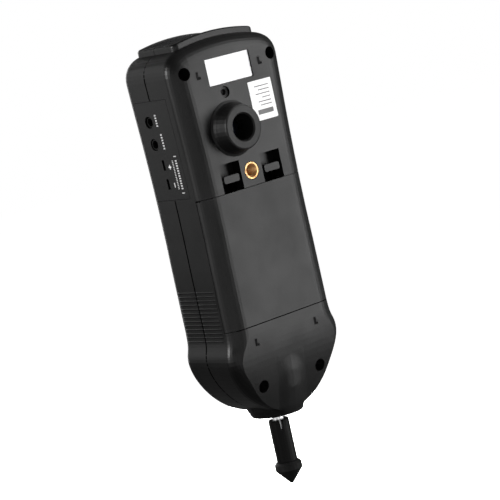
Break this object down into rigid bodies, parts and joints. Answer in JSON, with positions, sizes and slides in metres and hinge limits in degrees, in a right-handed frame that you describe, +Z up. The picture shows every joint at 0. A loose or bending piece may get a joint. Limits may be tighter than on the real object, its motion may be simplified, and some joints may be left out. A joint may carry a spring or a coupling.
{
  "type": "handheld contact tachometer",
  "caption": "Handheld contact tachometer with a waisted two-part case, a rear sensor barrel, a tripod insert, a latched battery cover and a spinning cone-tipped shaft.",
  "frame": {"origin": "centre of the tripod insert, on the flat back face of the case", "axes": "+Z up the case away from the measuring tip, +Y out of the back face, +X towards the socket panel"},
  "size_m": [0.0744, 0.0516, 0.2408],
  "materials": {
    "case_plastic": "fine moulded texture",
    "cover_plastic": "fine moulded texture",
    "panel_plastic": "smooth satin",
    "latch_plastic": "satin",
    "brass": "turned and threaded",
    "barrel_plastic": "satin",
    "lens_glass": "polished, coated",
    "smoked_window": "polished, smoked",
    "jack_plastic": "satin",
    "label_film": "printed film, satin",
    "screw_steel": "zinc plated",
    "clear_window": "polished, clear",
    "inner_plastic": "moulded",
    "lcd_glass": "display glass",
    "key_rubber": "matt",
    "circuit_board": "solder mask",
    "cell_sleeve": "printed sleeve",
    "spring_steel": "nickel plated",
    "sensor_metal": "drawn",
    "diode_resin": "smoked resin",
    "holder_aluminium": "turned",
    "bearing_steel": "ground",
    "chrome_shaft": "polished",
    "adapter_plastic": "satin",
    "tip_rubber": "matt"
  },
  "bodies": {
    "case": {"rear_case": "case_plastic", "front_case": "case_plastic", "socket_panel": "panel_plastic", "tripod_insert": "brass", "sensor_barrel": "barrel_plastic", "sensor_lens": "lens_glass", "laser_ring": "barrel_plastic", "top_window": "smoked_window", "serial_jack": "jack_plastic", "power_jack": "jack_plastic", "thermocouple_socket": "jack_plastic", "rating_label": "label_film", "side_label": "label_film", "case_screw_1": "screw_steel", "case_screw_2": "screw_steel", "case_screw_3": "screw_steel", "case_screw_4": "screw_steel", "display_window": "clear_window", "lcd_frame": "inner_plastic", "lcd_panel": "lcd_glass", "keypad_mat": "key_rubber", "main_board": "circuit_board", "battery_tray": "inner_plastic", "battery_1": "cell_sleeve", "battery_2": "cell_sleeve", "battery_3": "cell_sleeve", "battery_4": "cell_sleeve", "battery_5": "cell_sleeve", "battery_6": "cell_sleeve", "contact_strip_right": "spring_steel", "contact_strip_left": "spring_steel", "sensor_can": "sensor_metal", "laser_module": "sensor_metal", "buzzer": "inner_plastic", "photo_emitter": "diode_resin", "photo_detector": "diode_resin", "bearing_holder": "holder_aluminium", "lower_bearing": "bearing_steel", "upper_bearing": "bearing_steel", "optical_interrupter": "inner_plastic"},
    "spindle": {"input_shaft": "chrome_shaft", "encoder_disc": "inner_plastic", "shaft_clip": "screw_steel"},
    "adapter": {"adapter_sleeve": "adapter_plastic", "cone_tip": "tip_rubber"},
    "cover": {"battery_cover": "cover_plastic"},
    "right_latch": {"latch_right": "latch_plastic"},
    "left_latch": {"latch_left": "latch_plastic"},
    "button_1": {"key_1": "key_rubber"},
    "button_2": {"key_2": "key_rubber"},
    "button_3": {"key_3": "key_rubber"},
    "button_4": {"key_4": "key_rubber"},
    "button_5": {"key_5": "key_rubber"},
    "button_6": {"key_6": "key_rubber"}
  },
  "joints": [
    {"name": "spindle_spin", "type": "hinge", "parent": "case", "child": "spindle", "pos_m": [0, -0.023, -0.12], "axis": [0, 0, 1], "continuous": true},
    {"name": "adapter_pull", "type": "slide", "parent": "spindle", "child": "adapter", "axis": [0, 0, -1], "range_m": [0, 0.013]},
    {"name": "cover_tilt", "type": "hinge", "parent": "case", "child": "cover", "pos_m": [0, 0, -0.076], "axis": [-1, 0, 0], "range_deg": [0, 50]},
    {"name": "right_latch_press", "type": "slide", "parent": "cover", "child": "right_latch", "axis": [0, 0, -1], "range_m": [0, 0.0012], "stiffness_N_per_m": 600},
    {"name": "left_latch_press", "type": "slide", "parent": "cover", "child": "left_latch", "axis": [0, 0, -1], "range_m": [0, 0.0012], "stiffness_N_per_m": 600},
    {"name": "key_1_press", "type": "slide", "parent": "case", "child": "button_1", "axis": [0, 1, 0], "range_m": [0, 0.0008], "stiffness_N_per_m": 600},
    {"name": "key_2_press", "type": "slide", "parent": "case", "child": "button_2", "axis": [0, 1, 0], "range_m": [0, 0.0008], "stiffness_N_per_m": 600},
    {"name": "key_3_press", "type": "slide", "parent": "case", "child": "button_3", "axis": [0, 1, 0], "range_m": [0, 0.0008], "stiffness_N_per_m": 600},
    {"name": "key_4_press", "type": "slide", "parent": "case", "child": "button_4", "axis": [0, 1, 0], "range_m": [0, 0.0008], "stiffness_N_per_m": 600},
    {"name": "key_5_press", "type": "slide", "parent": "case", "child": "button_5", "axis": [0, 1, 0], "range_m": [0, 0.0008], "stiffness_N_per_m": 600},
    {"name": "key_6_press", "type": "slide", "parent": "case", "child": "button_6", "axis": [0, 1, 0], "range_m": [0, 0.0008], "stiffness_N_per_m": 600}
  ]
}
